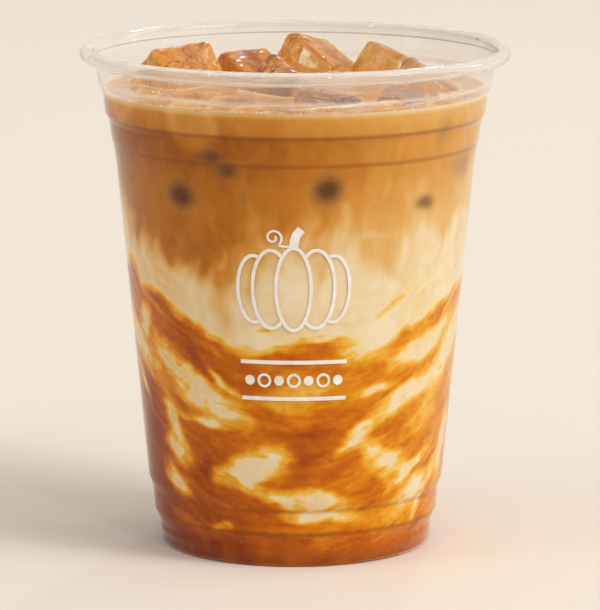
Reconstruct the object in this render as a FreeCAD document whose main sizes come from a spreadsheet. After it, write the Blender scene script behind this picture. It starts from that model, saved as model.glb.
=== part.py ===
# An iced pumpkin spice latte in its clear plastic cup, in millimetres.
#
# The cup is one thermoformed sheet: a hollow foot ring round a raised base panel, a narrow ring
# above the foot, a plain taper, two grip steps, a stacking shoulder and a rim that is rolled
# outwards. The drink fills it in three layers that run right through: pumpkin sauce, milk and
# coffee. Blocks of ice float in the drink and stand out of it, and the drink is cut round them.
#
# The origin is the middle of the ring that the cup stands on, and +Z is up.
import FreeCAD, Part

import math
import os

import Sketcher

DOC = FreeCAD.newDocument("PumpkinSpiceLatte")
SHEET = DOC.addObject("Spreadsheet::Sheet", "Sizes")

# ---------------------------------------------------------------- driving dimensions
# Radii and heights of the cup are those of the outside of its sheet.
SIZES = {
    "cup_height": (114.5, "base to the top of the rim"),
    "rim_radius": (49.0, "outermost radius of the rolled rim"),
    "foot_radius": (31.1, "outside of the foot"),
    "wall": (0.35, "thickness of the sheet"),
    # the rolled rim
    "roll_radius": (1.6, "radius of the roll"),
    "roll_open": (60.0, "degrees by which the roll stops short of the wall"),
    # the collar between the rim and the drink, measured down from the rim and in from its edge
    "collar_drop": (5.4, "rim top to the top of the collar's plain wall"),
    "collar_inset": (3.8, "rim edge to the top of the plain wall"),
    "shoulder_drop": (8.2, "rim top to the top of the stacking shoulder"),
    "shoulder_inset": (4.25, "rim edge to the shoulder's outer corner"),
    "seat_drop": (10.6, "rim top to the foot of the stacking shoulder"),
    "seat_inset": (5.2, "rim edge to the foot of the shoulder"),
    # the two grip steps
    "upper_step_drop": (14.7, "rim top to the upper step"),
    "upper_step_inset": (5.6, "rim edge to the upper step"),
    "lower_step_drop": (21.3, "rim top to the lower step"),
    "lower_step_inset": (7.05, "rim edge to the lower step"),
    "step_depth": (0.9, "how far the wall steps in at each grip step"),
    "step_rise": (1.7, "height of each step's slope"),
    "body_drop": (26.0, "rim top to the top of the plain taper"),
    "body_inset": (8.1, "rim edge to the top of the plain taper"),
    # the rings at the foot, measured up from the base and out from the foot
    "foot_height": (4.8, "base to the groove above the foot"),
    "foot_round": (1.1, "radius of the foot's outer edge"),
    "ring_height": (8.0, "base to the lower edge of the ring"),
    "ring_out": (1.4, "foot to the ring's lower edge"),
    "ring_top_height": (12.9, "base to the upper edge of the ring"),
    "ring_top_out": (1.75, "foot to the ring's upper edge"),
    "body_low_height": (15.6, "base to the bottom of the plain taper"),
    "body_low_out": (2.7, "foot to the bottom of the plain taper"),
    # the base
    "foot_width": (3.6, "width of the hollow foot at the ring it rests on"),
    "panel_rise": (3.4, "how far the base panel is raised"),
    "panel_run": (1.6, "how far the foot's inner side leans in"),
    "bend": (0.5, "radius of the small bends of the sheet"),
    # the drink
    "fill_drop": (9.9, "rim top to the level of the drink"),
    "milk_top": (76.0, "mean height where coffee turns to milk"),
    "milk_wave": (1.5, "how far it climbs at the sides and dips at the front, low on the wall"),
    "sauce_top": (58.0, "mean height where milk turns to sauce"),
    "sauce_wave": (5.0, "how far it climbs at the sides and dips at the front, low on the wall"),
    "ripple": (0.8, "height of the small ripples in both boundaries"),
    # the ice
    "ice_side": (20.0, "side of a middling block"),
    "ice_taper": (4.0, "degrees by which a block's sides lean in"),
    "ice_round": (2.4, "melted radius of a block's edges"),
    "ice_dimple": (0.8, "depth of the dimple in a block's broad face"),
}


def fill_sheet():
    """Write the driving dimensions into the sheet, one row each: what it is, its value."""
    for row, (alias, (value, meaning)) in enumerate(SIZES.items(), start=1):
        SHEET.set("A%d" % row, meaning)
        SHEET.set("B%d" % row, str(value))
        SHEET.setAlias("B%d" % row, alias)
    DOC.recompute()


def bound(names):
    """An expression in the sheet's names, with each name written as a reference to its cell."""
    return " ".join("Sizes." + word if word in SIZES else word for word in names.split())


def size(names):
    """The value, in millimetres or degrees, of an expression in the sheet's names."""
    value = SHEET.evalExpression(bound(names))
    return float(getattr(value, "Value", value))


def bind(thing, where, names):
    """Bind one property of an object, or one constraint of a sketch, to the sheet."""
    path = "Constraints[%d]" % where if isinstance(where, int) else where
    thing.setExpression(path, bound(names))


# ---------------------------------------------------------------- outlines of the cup's sheet
# A station is a corner of the outline: its radius and its height, in the sheet's names.
OUTSIDE = [
    ("foot_radius", "0"),
    ("foot_radius", "foot_height"),
    ("foot_radius + ring_out", "ring_height"),
    ("foot_radius + ring_top_out", "ring_top_height"),
    ("foot_radius + body_low_out", "body_low_height"),
    ("rim_radius - body_inset", "cup_height - body_drop"),
    ("rim_radius - lower_step_inset - step_depth / 2", "cup_height - lower_step_drop - step_rise / 2"),
    ("rim_radius - lower_step_inset", "cup_height - lower_step_drop + step_rise / 2"),
    ("rim_radius - upper_step_inset - step_depth", "cup_height - upper_step_drop - step_rise"),
    ("rim_radius - upper_step_inset", "cup_height - upper_step_drop"),
    ("rim_radius - seat_inset", "cup_height - seat_drop"),
    ("rim_radius - shoulder_inset", "cup_height - shoulder_drop"),
    ("rim_radius - collar_inset", "cup_height - collar_drop"),
]
# The underside runs from the axis along the raised panel and down to the resting ring.
UNDERSIDE = [
    ("0", "panel_rise"),
    ("foot_radius - foot_width - panel_run", "panel_rise"),
    ("foot_radius - foot_width", "0"),
]
# The inside of the base stands one sheet off the underside; inside the foot it is a trough.
INSIDE_BASE = [
    ("0", "panel_rise + wall"),
    ("foot_radius - foot_width - panel_run + wall", "panel_rise + wall"),
    ("foot_radius - foot_width + wall", "wall"),
    ("foot_radius - wall", "wall"),
]
INSIDE_WALL = [(radius + " - wall", height) for radius, height in OUTSIDE[1:]]
INSIDE = INSIDE_BASE + INSIDE_WALL
ROLL_MIDDLE = ("rim_radius - roll_radius", "cup_height - roll_radius")
LEVEL = "cup_height - fill_drop"


def origin_feature(body, role):
    """The origin plane or axis of a body that has this role."""
    return next(part for part in body.Origin.OriginFeatures if part.Role == role)


def new_body(name):
    """A body and the sketch of its half section, on the plane through the axis."""
    body = DOC.addObject("PartDesign::Body", name)
    sketch = body.newObject("Sketcher::SketchObject", name + "Section")
    sketch.AttachmentSupport = (origin_feature(body, "XZ_Plane"), [""])
    sketch.MapMode = "FlatFace"
    return body, sketch


def place_point(sketch, edge, end, station):
    """Bind one end of an edge to its station, or to the axis that it lies on."""
    axis_of_zero = {0: -2, 1: -1}
    kind_of = {0: "DistanceX", 1: "DistanceY"}
    for direction, names in enumerate(station):
        if names == "0":
            on_axis = Sketcher.Constraint("PointOnObject", edge, end, axis_of_zero[direction])
            sketch.addConstraint(on_axis)
            continue
        distance = Sketcher.Constraint(kind_of[direction], -1, 1, edge, end, size(names))
        bind(sketch, sketch.addConstraint(distance), names)


def draw_chain(sketch, stations):
    """Draw straight edges through the stations, each corner bound to the sheet."""
    points = [FreeCAD.Vector(size(radius), size(height), 0) for radius, height in stations]
    edges = []
    for start, stop in zip(points, points[1:]):
        edges.append(sketch.addGeometry(Part.LineSegment(start, stop), False))
    for before, after in zip(edges, edges[1:]):
        sketch.addConstraint(Sketcher.Constraint("Coincident", before, 2, after, 1))
    for edge, station in zip(edges, stations):
        place_point(sketch, edge, 1, station)
    place_point(sketch, edges[-1], 2, stations[-1])
    return edges


def draw_roll(sketch, inner_wall, outer_wall):
    """Roll the sheet outwards at the rim, between the last edges of its two sides."""
    middle = FreeCAD.Vector(size(ROLL_MIDDLE[0]), size(ROLL_MIDDLE[1]), 0)
    lean = math.radians(size("roll_open"))
    up = FreeCAD.Vector(0, 0, 1)
    arcs = []
    for radius in ("roll_radius", "roll_radius - wall"):
        circle = Part.Circle(middle, up, size(radius))
        arc = Part.ArcOfCircle(circle, lean - math.pi, math.pi)
        arcs.append(sketch.addGeometry(arc, False))
    outer_arc, inner_arc = arcs
    place_point(sketch, outer_arc, 3, ROLL_MIDDLE)
    sketch.addConstraint(Sketcher.Constraint("Coincident", outer_arc, 3, inner_arc, 3))
    for wall_edge, arc in ((inner_wall, outer_arc), (outer_wall, inner_arc)):
        sketch.addConstraint(Sketcher.Constraint("Coincident", wall_edge, 2, arc, 2))
    ends = [sketch.getPoint(arc, 1) for arc in arcs]
    lip = sketch.addGeometry(Part.LineSegment(*ends), False)
    sketch.addConstraint(Sketcher.Constraint("Coincident", outer_arc, 1, lip, 1))
    sketch.addConstraint(Sketcher.Constraint("Coincident", inner_arc, 1, lip, 2))
    sketch.addConstraint(Sketcher.Constraint("PointOnObject", outer_arc, 3, lip))
    turn = sketch.addConstraint(Sketcher.Constraint("Angle", lip, lean))
    bind(sketch, turn, "roll_open * 1 deg")


def revolve(body, sketch, name):
    """Turn the half section once round the axis."""
    turned = body.newObject("PartDesign::Revolution", name)
    turned.Profile = sketch
    turned.ReferenceAxis = (origin_feature(body, "Z_Axis"), [""])
    turned.Angle = 360.0
    sketch.Visibility = False
    DOC.recompute()
    return turned


def soften(body, turned, name, stations, radius):
    """Round the circular edges of a turned solid that lie at the stations."""
    corners = [(size(across), size(height)) for across, height in stations]
    edges = []
    for number, edge in enumerate(turned.Shape.Edges, start=1):
        if not isinstance(edge.Curve, Part.Circle):
            continue
        ring = (edge.Curve.Radius, edge.Curve.Center.z)
        if any(math.dist(ring, corner) < 1e-4 for corner in corners):
            edges.append("Edge%d" % number)
    rounded = body.newObject("PartDesign::Fillet", name)
    rounded.Base = (turned, edges)
    bind(rounded, "Radius", radius)
    DOC.recompute()
    return rounded


def bends(stations):
    """The corners of an outline where the sheet bends gently, apart from its two ends."""
    return stations[1:-1]


# ---------------------------------------------------------------- sub-parts


def make_cup():
    """The cup: one sheet from the base panel round the foot and up to the rolled rim."""
    body, sketch = new_body("CupSheet")
    roll_inside = ("rim_radius - roll_radius - roll_radius", ROLL_MIDDLE[1])
    roll_outside = ("rim_radius - roll_radius - roll_radius + wall", ROLL_MIDDLE[1])
    inner = draw_chain(sketch, INSIDE + [roll_inside])
    outer = draw_chain(sketch, UNDERSIDE + OUTSIDE + [roll_outside])
    middle = sketch.addGeometry(
        Part.LineSegment(sketch.getPoint(inner[0], 1), sketch.getPoint(outer[0], 1)), False
    )
    sketch.addConstraint(Sketcher.Constraint("Coincident", middle, 1, inner[0], 1))
    sketch.addConstraint(Sketcher.Constraint("Coincident", middle, 2, outer[0], 1))
    draw_roll(sketch, inner[-1], outer[-1])
    sheet = revolve(body, sketch, "CupTurned")
    foot = soften(body, sheet, "FootEdge", OUTSIDE[:1], "foot_round")
    trough = soften(body, foot, "FootTrough", INSIDE_BASE[3:], "foot_round - wall")
    soften(body, trough, "SheetBends", bends(OUTSIDE) + bends(INSIDE_WALL), "bend")
    body.Label = "cup"
    return body


def make_cavity():
    """The space inside the cup up to the rim, which the drink takes its outside from."""
    body, sketch = new_body("Cavity")
    roof = ("0", INSIDE[-1][1])
    chain = draw_chain(sketch, INSIDE + [roof])
    closing = sketch.addGeometry(
        Part.LineSegment(sketch.getPoint(chain[-1], 2), sketch.getPoint(chain[0], 1)), False
    )
    sketch.addConstraint(Sketcher.Constraint("Coincident", closing, 1, chain[-1], 2))
    sketch.addConstraint(Sketcher.Constraint("Coincident", closing, 2, chain[0], 1))
    space = revolve(body, sketch, "CavityTurned")
    trough = soften(body, space, "CavityTrough", INSIDE_BASE[3:], "foot_round - wall")
    soften(body, trough, "CavityBends", bends(INSIDE_WALL), "bend")
    return body


def make_below_level():
    """A plain cylinder, wider than the cup, up to the level of the drink."""
    below = DOC.addObject("Part::Cylinder", "BelowLevel")
    bind(below, "Radius", "rim_radius")
    bind(below, "Height", LEVEL)
    return below


def make_below_boundary(name, height, wave, ripple_turns):
    """A block whose wavy top is a boundary between two layers: it climbs towards both sides
    of the cup, dips towards its front and back, and carries small ripples."""
    steps = 12
    reach = size("rim_radius")
    low_wall = size("foot_radius + body_low_out")
    middle, swing, ripple = size(height), size(wave), size("ripple")
    places = [reach * (2 * step / steps - 1) for step in range(steps + 1)]

    def top(across, along):
        saddle = swing * (across**2 - along**2) / low_wall**2
        turn = ripple_turns * math.pi / reach
        return middle + saddle + ripple * math.sin(turn * across) * math.cos(turn * along)

    grid = [[FreeCAD.Vector(x, y, top(x, y)) for y in places] for x in places]
    surface = Part.BSplineSurface()
    surface.interpolate(grid)
    depth = size("cup_height")
    below = DOC.addObject("Part::Feature", name)
    below.Shape = surface.toShape().extrude(FreeCAD.Vector(0, 0, -depth))
    return below


# Each block of ice: where its middle lies, across and along the cup as shares of the radius at
# the foot of the shoulder and up from the level in middling blocks; how it is turned about Z, Y
# and X in degrees; and its length, width and height in middling blocks.
ICE = [
    ((-0.59, 0.15, -0.20), (135, -50, 180), (1.15, 1.00, 0.90)),
    ((-0.25, 0.44, -0.21), (135, 55, 0), (0.95, 0.90, 0.85)),
    ((-0.03, -0.13, -0.28), (35, 40, 105), (1.10, 0.95, 0.90)),
    ((0.09, 0.70, -0.09), (155, 60, 105), (0.90, 0.85, 0.80)),
    ((0.49, 0.46, -0.16), (-175, 60, 55), (1.00, 0.90, 0.85)),
    ((0.67, 0.01, -0.22), (-70, 10, 55), (1.05, 0.90, 0.80)),
    ((0.12, -0.62, -0.31), (-50, -65, 45), (0.90, 0.85, 0.80)),
    ((0.56, -0.47, -0.29), (-40, -75, -150), (0.85, 0.80, 0.75)),
]


def make_ice(number, place, turn, sides):
    """A block of ice: its sides lean in, its edges are melted round, its broad face is dimpled."""
    name = "Ice%d" % number
    length, width, height = ("ice_side * %s" % share for share in sides)
    body = DOC.addObject("PartDesign::Body", name)
    middle_plane = (origin_feature(body, "XY_Plane"), [""])
    foot = body.newObject("Sketcher::SketchObject", name + "Foot")
    foot.AttachmentSupport = middle_plane
    foot.MapMode = "FlatFace"
    bind(foot, "AttachmentOffset.Base.z", "0 - %s / 2" % height)
    draw_rectangle(foot, length, width)
    block = body.newObject("PartDesign::Pad", name + "Block")
    block.Profile = foot
    bind(block, "Length", height)
    bind(block, "TaperAngle", "ice_taper * -1 deg")
    foot.Visibility = False
    DOC.recompute()
    melted = body.newObject("PartDesign::Fillet", name + "Melted")
    melted.Base = (block, ["Edge%d" % edge for edge in range(1, len(block.Shape.Edges) + 1)])
    bind(melted, "Radius", "ice_round")
    dimple = body.newObject("PartDesign::SubtractiveSphere", name + "Dimple")
    dimple.AttachmentSupport = middle_plane
    dimple.MapMode = "FlatFace"
    bind(dimple, "Radius", "ice_side")
    bind(dimple, "AttachmentOffset.Base.z", "ice_dimple - ice_side - %s / 2" % height)
    across, along, up = place
    bind(body, "Placement.Base.x", "( rim_radius - seat_inset ) * %s" % across)
    bind(body, "Placement.Base.y", "( rim_radius - seat_inset ) * %s" % along)
    bind(body, "Placement.Base.z", LEVEL + " + ice_side * %s" % up)
    body.Placement.Rotation = FreeCAD.Rotation(*turn)
    body.Label = "ice_block_%d" % number
    return body


def draw_rectangle(sketch, length, width):
    """A rectangle about the sketch's origin, its sides bound to two expressions."""
    across, along = size(length) / 2, size(width) / 2
    corners = [(-across, -along), (across, -along), (across, along), (-across, along)]
    points = [FreeCAD.Vector(x, y, 0) for x, y in corners]
    edges = []
    for start, stop in zip(points, points[1:] + points[:1]):
        edges.append(sketch.addGeometry(Part.LineSegment(start, stop), False))
    for before, after in zip(edges, edges[1:] + edges[:1]):
        sketch.addConstraint(Sketcher.Constraint("Coincident", before, 2, after, 1))
    for kind, edge in (("Horizontal", 0), ("Vertical", 1), ("Horizontal", 2), ("Vertical", 3)):
        sketch.addConstraint(Sketcher.Constraint(kind, edges[edge]))
    # opposite corners are alike about the origin
    sketch.addConstraint(Sketcher.Constraint("Symmetric", edges[0], 1, edges[1], 2, -1, 1))
    for kind, edge, names in (("DistanceX", 0, length), ("DistanceY", 1, width)):
        side = Sketcher.Constraint(kind, edges[edge], 1, edges[edge], 2, size(names))
        bind(sketch, sketch.addConstraint(side), names)


def boolean(kind, name, base, tool):
    """A cut or a common of two objects."""
    result = DOC.addObject("Part::" + kind, name)
    result.Base = base
    result.Tool = tool
    return result


def make_drink(ice):
    """The drink up to its level, cut round the ice and parted into its three layers."""
    filled = boolean("Common", "Filled", make_cavity(), make_below_level())
    all_ice = DOC.addObject("Part::MultiFuse", "AllIce")
    all_ice.Shapes = ice
    round_ice = boolean("Cut", "DrinkRoundIce", filled, all_ice)
    below_milk_top = make_below_boundary("BelowMilkTop", "milk_top", "milk_wave", 2)
    below_sauce_top = make_below_boundary("BelowSauceTop", "sauce_top", "sauce_wave", 3)
    coffee = boolean("Cut", "Coffee", round_ice, below_milk_top)
    milk_and_sauce = boolean("Common", "MilkAndSauce", round_ice, below_milk_top)
    milk = boolean("Cut", "Milk", milk_and_sauce, below_sauce_top)
    sauce = boolean("Common", "Sauce", milk_and_sauce, below_sauce_top)
    coffee.Label = "coffee_layer"
    milk.Label = "milk_layer"
    sauce.Label = "pumpkin_sauce"
    return [sauce, milk, coffee]


# ---------------------------------------------------------------- checks and files


def check(nodes):
    """Stop with a message if any object failed or any sub-part isn't one sound solid."""
    failed = [thing.Name for thing in DOC.Objects if {"Invalid", "Error"} & set(thing.State)]
    if failed:
        raise RuntimeError("these objects failed: " + ", ".join(failed))
    for node in nodes:
        if node.Shape.isNull() or not node.Shape.isValid():
            raise RuntimeError(node.Label + " has no valid shape")
        if len(node.Shape.Solids) != 1:
            raise RuntimeError("%s is %d solids" % (node.Label, len(node.Shape.Solids)))


def write(nodes):
    """Write each sub-part to a STEP file named after its node."""
    os.makedirs("parts", exist_ok=True)
    for node in nodes:
        node.Shape.exportStep("parts/%s.step" % node.Label)
        print("%-16s %9.1f cubic mm" % (node.Label, node.Shape.Volume))


def main():
    fill_sheet()
    cup = make_cup()
    ice = [make_ice(number, *block) for number, block in enumerate(ICE, start=1)]
    nodes = [cup, *make_drink(ice), *ice]
    DOC.recompute()
    check(nodes)
    write(nodes)


main()
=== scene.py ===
import math

import bmesh
import bpy
import numpy as np
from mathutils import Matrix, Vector, geometry
from mathutils.bvhtree import BVHTree


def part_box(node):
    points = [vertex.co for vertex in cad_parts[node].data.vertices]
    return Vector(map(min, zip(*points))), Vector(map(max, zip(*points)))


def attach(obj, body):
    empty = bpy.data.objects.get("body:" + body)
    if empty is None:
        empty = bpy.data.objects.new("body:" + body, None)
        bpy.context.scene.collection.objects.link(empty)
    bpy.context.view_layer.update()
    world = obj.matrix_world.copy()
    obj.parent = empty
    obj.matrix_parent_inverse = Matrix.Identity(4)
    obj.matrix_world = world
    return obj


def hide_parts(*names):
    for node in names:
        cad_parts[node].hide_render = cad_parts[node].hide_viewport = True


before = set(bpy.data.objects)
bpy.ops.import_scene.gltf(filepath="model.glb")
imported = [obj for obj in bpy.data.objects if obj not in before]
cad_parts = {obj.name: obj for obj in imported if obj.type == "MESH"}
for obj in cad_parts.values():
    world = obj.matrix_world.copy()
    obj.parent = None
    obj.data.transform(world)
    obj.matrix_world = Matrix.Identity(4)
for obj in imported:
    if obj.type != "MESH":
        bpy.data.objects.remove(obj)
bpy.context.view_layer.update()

MM = 0.001
LAYERS = ("pumpkin_sauce", "milk_layer", "coffee_layer")
ICE = sorted(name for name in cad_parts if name.startswith("ice_block"))
CUP_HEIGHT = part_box("cup")[1].z
RIM_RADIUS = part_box("cup")[1].x
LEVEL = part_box("coffee_layer")[1].z

INTO_WALL = 0.12 * MM  # how far the drink reaches into the cup's sheet
COLUMNS = 480  # steps round the drink
SIDE_ROWS = 166  # steps up its side
FOOT_STEP = 1.5 * MM  # steps out from the middle of its foot
BEND_STEP = 0.3 * MM  # finer steps where the foot bends up into the side
SURFACE_STEP = 0.62 * MM  # the spacing of the points on its surface
WET_RISE = 0.35 * MM  # how far the drink climbs where it wets the wall and the ice
WET_REACH = 0.9 * MM  # how fast that climb dies away
LIT_SHARE = 0.55  # how much of a block's sunk depth light still reaches through the milky coffee
OUTSIDE = 0.08  # how far out the rays start that look for the wall

# the wall's steps: height in millimetres, and how dark the painted shade line along the step shows
LEDGES = [(99.2, 0.36), (92.8, 0.33), (13.2, 0.28), (7.8, 0.36)]


# ---- smooth noise
def lattice(cell, seed):
    """A fixed pseudo-random number from -1 to 1 for each whole-numbered point."""
    mixed = cell.astype(np.int64) * np.array([73856093, 19349663, 83492791])
    value = (mixed[..., 0] ^ mixed[..., 1] ^ mixed[..., 2]) + seed * 2654435
    value = (value ^ (value >> 13)) * 1274126177 & 0x7FFFFFFF
    value = (value ^ (value >> 16)) * 668265263 & 0x7FFFFFFF
    return (value % 65536) / 32768.0 - 1.0


def noise(points, grain, seed):
    """Smooth noise from -1 to 1, with features about as large as grain."""
    scaled = np.asarray(points) / np.asarray(grain)
    cell = np.floor(scaled)
    part = scaled - cell
    blend = part * part * part * (part * (part * 6 - 15) + 10)
    total = np.zeros(len(scaled))
    for corner in np.ndindex(2, 2, 2):
        weight = np.prod(np.where(np.array(corner) == 1, blend, 1 - blend), axis=1)
        total += weight * lattice(cell + np.array(corner), seed)
    return total


def layered(points, grain, seed, octaves=3):
    """Noise with finer noise on top."""
    total = np.zeros(len(points))
    for octave in range(octaves):
        total += noise(points, np.asarray(grain) / 2**octave, seed + octave) / 2**octave
    return total / 1.6


def ease(low, high, value):
    """0 below low, 1 above high, and smooth between them."""
    share = np.clip((value - low) / (high - low), 0, 1)
    return share * share * (3 - 2 * share)


# ---- the marbling of the drink
# Turns are degrees round the cup from its front, positive to the viewer's right. Heights,
# lengths and widths are millimetres on the wall.
SPREAD = 37.0  # the radius at which turns are measured as lengths
SWEEP = 27.0  # how far the flow lines climb from the front to the sides
SAUCE_PAINTED_LIGHT_TURN = 65.0  # the turn facing the key light: painted light makes the sauce palest here, and painted shade deepest opposite
COFFEE_PAINTED_LIGHT_TURN = 78.0  # the turn facing the key light: painted light makes the coffee palest here, and painted shade deepest opposite
BOXINESS = 2.6  # the roundness of a block's pale edge: 2 is an ellipse, and more is squarer

# the line between sauce and milk, as listed turns and heights all the way round
SAUCE_EDGE = [
    (-180, 55), (-150, 60), (-115, 58), (-90, 65), (-76, 68), (-62, 62), (-50, 58.5), (-35, 56),
    (-24, 52.5), (-14, 50.5), (-4, 52), (6, 54), (16, 51.5), (24, 50.5), (36, 54), (48, 58),
    (62, 58), (75, 63), (95, 61), (120, 56), (150, 61), (180, 55),
]

# the line between milk and coffee
COFFEE_EDGE = [
    (-180, 75), (-150, 78), (-120, 73), (-80, 76), (-62, 73), (-42, 68), (-25, 69), (-10, 74),
    (10, 77), (25, 75), (40, 79), (55, 77), (72, 80), (95, 76), (125, 72), (155, 77), (180, 75),
]

# a swirl: turn, height, half its length, half its width, lean in degrees, strength
CREAM_SWIRLS = [
    (-70, 47.5, 9, 2.4, -38, 0.95), (-64, 54.5, 3.6, 2, 75, 0.8), (-74, 40.5, 5.5, 0.9, -52, 0.8),
    (-49, 45, 5.5, 2.1, -48, 1.1), (-40, 41.5, 7.5, 2.7, -33, 1.2), (-29, 36.8, 6, 2, -25, 1.1),
    (-27, 43.5, 4.5, 0.8, -42, 0.8), (-51, 31.5, 4.2, 1.6, -68, 1), (-36, 32.8, 5.5, 0.9, -10, 0.8),
    (-50, 25, 4.2, 2, -22, 0.9), (-52, 18.3, 4, 1.5, -35, 0.9), (-21, 22, 4, 2, 10, 1),
    (-13, 24.8, 4.8, 2.6, 12, 1.2), (-17, 18.8, 3.5, 1.2, -30, 0.55), (-6, 16.9, 3, 1.5, -15, 0.85),
    (8, 16, 4.6, 1.8, -16, 1.2), (9, 12.4, 6.4, 1.3, -3, 1.1), (24, 30.6, 4.6, 1.2, 38, 1),
    (31, 26.6, 3.6, 1.8, -38, 0.9), (38, 24, 4.4, 1.8, -8, 1.2), (30, 40.6, 3.6, 0.9, 18, 0.8),
    (40, 37.8, 4.6, 1.3, 40, 1), (47, 40.6, 6, 1.5, 24, 1.1), (57, 42.5, 4, 1, 30, 0.8),
    (47, 48.6, 6, 1.6, 16, 1.15), (56, 51.4, 6, 1.8, 20, 1.2), (38, 56.6, 6, 1.4, 40, 1.2),
    (49, 57.2, 3.2, 0.8, 35, 0.7), (67, 46.5, 9, 2.6, 48, 0.95), (80, 53, 7, 2.4, 35, 0.95),
    (46, 20.6, 5, 0.8, 32, 0.9), (52, 22.6, 5, 0.8, 30, 0.9), (52, 16.2, 4.4, 2.1, 28, 1.15),
    (57, 12.2, 3.4, 1, 62, 0.6), (73, 25, 5.6, 2, 74, 1), (64, 19.5, 4, 1.1, 50, 0.6),
    (-31, 8.3, 3.4, 0.8, 5, 0.4), (4, 41, 5.5, 2.2, 8, 0.35), (-8, 38.5, 5, 1.4, -14, 0.3),
    (23, 49, 5, 1.8, 12, 0.5), (30, 51.8, 5, 1.2, 22, 0.5), (55, 33, 6, 2.2, 30, 0.3),
    (48, 13, 8, 3, 10, 0.3), (36, 20, 5, 2, -20, 0.3),
]

SAUCE_SWIRLS = [
    (-73, 65.5, 3.6, 2.2, -30, 0.85), (-58, 60.2, 7, 1.6, -18, 0.9), (-49, 55, 6.5, 2.2, -20, 1),
    (-36, 52, 7, 2.2, -17, 1), (-22, 49.6, 6, 1.8, -12, 1), (-33, 46.6, 7, 1.7, -16, 0.95),
    (-12, 55, 2.8, 0.7, 0, 0.5), (9, 50.8, 8, 2, 3, 0.9), (36, 60.6, 7, 0.8, 36, 0.5),
    (47, 60.8, 6, 0.9, 38, 0.55), (62, 55.4, 7, 2.2, 24, 1), (74, 59.8, 6, 1.9, 24, 1),
    (45, 53, 6, 1.2, 18, 0.8), (34, 46.6, 7.5, 1.8, 4, 0.95), (48, 44.8, 5, 1.4, 12, 0.85),
]

# where the sauce is deepest
DEEP_SAUCE = [
    (3, 28, 9, 5, 0, 0.9), (-8, 31, 8, 3, -10, 0.6), (-38, 47.5, 9, 2.4, -22, 0.8),
    (-49, 56, 7, 2, -20, 0.7), (14, 47, 9, 2.4, 0, 0.6), (38, 31.5, 6, 2.2, 20, 0.6),
    (-33, 26, 5, 3.5, -60, 0.6), (-68, 33, 7, 7, 0, 0.8), (-70, 18, 8, 8, 0, 0.7),
    (28, 18, 5, 3, 20, 0.5),
]

# pale and dark drifts in the milk and the coffee above it: the same six values
MILK_DRIFTS = [
    (-72, 63, 6, 4, 0, 0.5), (-52, 64, 9, 3.6, -12, 0.8), (-12, 60, 8, 3.4, -10, 0.45),
    (27, 65.2, 4, 1.6, 25, 0.7), (24, 58, 6, 4.5, 0, 0.7), (47, 73.6, 3.2, 3.6, 80, 0.95),
    (48, 66, 8, 2.8, 70, 0.95), (67, 69, 8, 3.6, 72, 1), (68, 77, 3.4, 2.6, 0, 0.8),
    (28, 76.2, 4.8, 1, -8, 0.4), (-78, 72, 7, 3.6, 80, 0.5),
]
COFFEE_DRIFTS = [
    (-40, 74.5, 5, 3.6, 60, 0.85), (-33, 79, 8, 2.6, -8, 0.6), (-32, 67, 6, 1.4, 84, 0.5),
    (-25, 63.5, 8, 2.6, 88, 1), (-14, 66, 6, 1.2, 80, 0.4), (8, 66.5, 5, 1.4, 70, 0.3),
    (-63, 75, 5, 1.4, 80, 0.3), (27, 71.5, 3.8, 3, 0, 0.3), (35, 67.5, 5, 1.2, -35, 0.35),
    (57, 73.5, 5.6, 1.3, 80, 0.6), (40, 64, 6, 0.9, 40, 0.3),
]

# the pale edges of blocks that nearly touch the wall: turn, height, half the width, half the
# height, strength
PALE_RIMS = [
    (-33.0, 104.4, 5.6, 8.2, 0.34),
    (-64.0, 105.4, 4.8, 5.4, 0.24),
    (128.0, 102.5, 6.0, 7.0, 0.38),
    (-142.0, 103.5, 5.2, 6.4, 0.34),
]

# where sunk ice rests on the wall: turn, height, half its width, half its height, darkness
SUNK_ICE = [
    (-38.5, 85.2, 3, 2.9, 1), (-26.5, 94.6, 2.4, 1.3, 0.8), (-21.5, 91.6, 2.6, 1.7, 0.8),
    (-16.5, 85.6, 1.7, 1.6, 0.35), (10.5, 87.4, 2.7, 3, 1), (46, 82.6, 2.5, 1.6, 0.8),
    (50.5, 98.4, 1.9, 3, 0.35), (66, 89.6, 4.4, 2.8, 0.45), (112, 86.5, 2.8, 2.6, 0.9),
    (146, 92, 2.4, 1.8, 0.7), (-158, 84.5, 2.9, 2.6, 0.9), (-117, 90, 2.6, 2.2, 0.8),
    (-92, 83.6, 1.9, 1.7, 0.5),
]


def turned(turn, middle):
    """How far turn is from middle, in degrees, the short way round."""
    return (turn - middle + 180.0) % 360.0 - 180.0


def turn_of(points):
    """Each point's turn round the cup, in degrees from its front."""
    return np.degrees(np.arctan2(points[:, 0], -points[:, 1]))


def swirl(turn, height, row):
    """One swirl: 1 at its middle line, fading to 0 beyond its length and width."""
    middle, up, half_length, half_width, lean, strength = row
    across = np.radians(turned(turn, middle)) * SPREAD
    rise = height - up
    lean = math.radians(lean)
    along = (across * math.cos(lean) + rise * math.sin(lean)) / half_length
    aside = (rise * math.cos(lean) - across * math.sin(lean)) / half_width
    return strength * np.exp(-((along**2 + aside**2) ** 1.1) * 0.62)


def gathered(turn, height, rows):
    """Several swirls run together."""
    clear = np.ones(len(turn))
    for row in rows:
        clear *= 1 - np.clip(swirl(turn, height, row), 0, 1)
    return 1 - clear


def behind_swirls(seed, count, lowest, highest, lean):
    """Swirls for the sides and the back, which no photograph shows."""
    dice = np.random.default_rng(seed)
    rows = []
    for index in range(count):
        turn = 90 + 180 * (index + dice.uniform(0.1, 0.9)) / count
        up = dice.uniform(lowest, highest)
        length = dice.uniform(3.2, 7.5)
        tilt = dice.uniform(-lean, lean)
        width = length * dice.uniform(0.22, 0.42)
        rows.append((turn, up, length, width, tilt, dice.uniform(0.7, 1.2)))
    return rows


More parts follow.
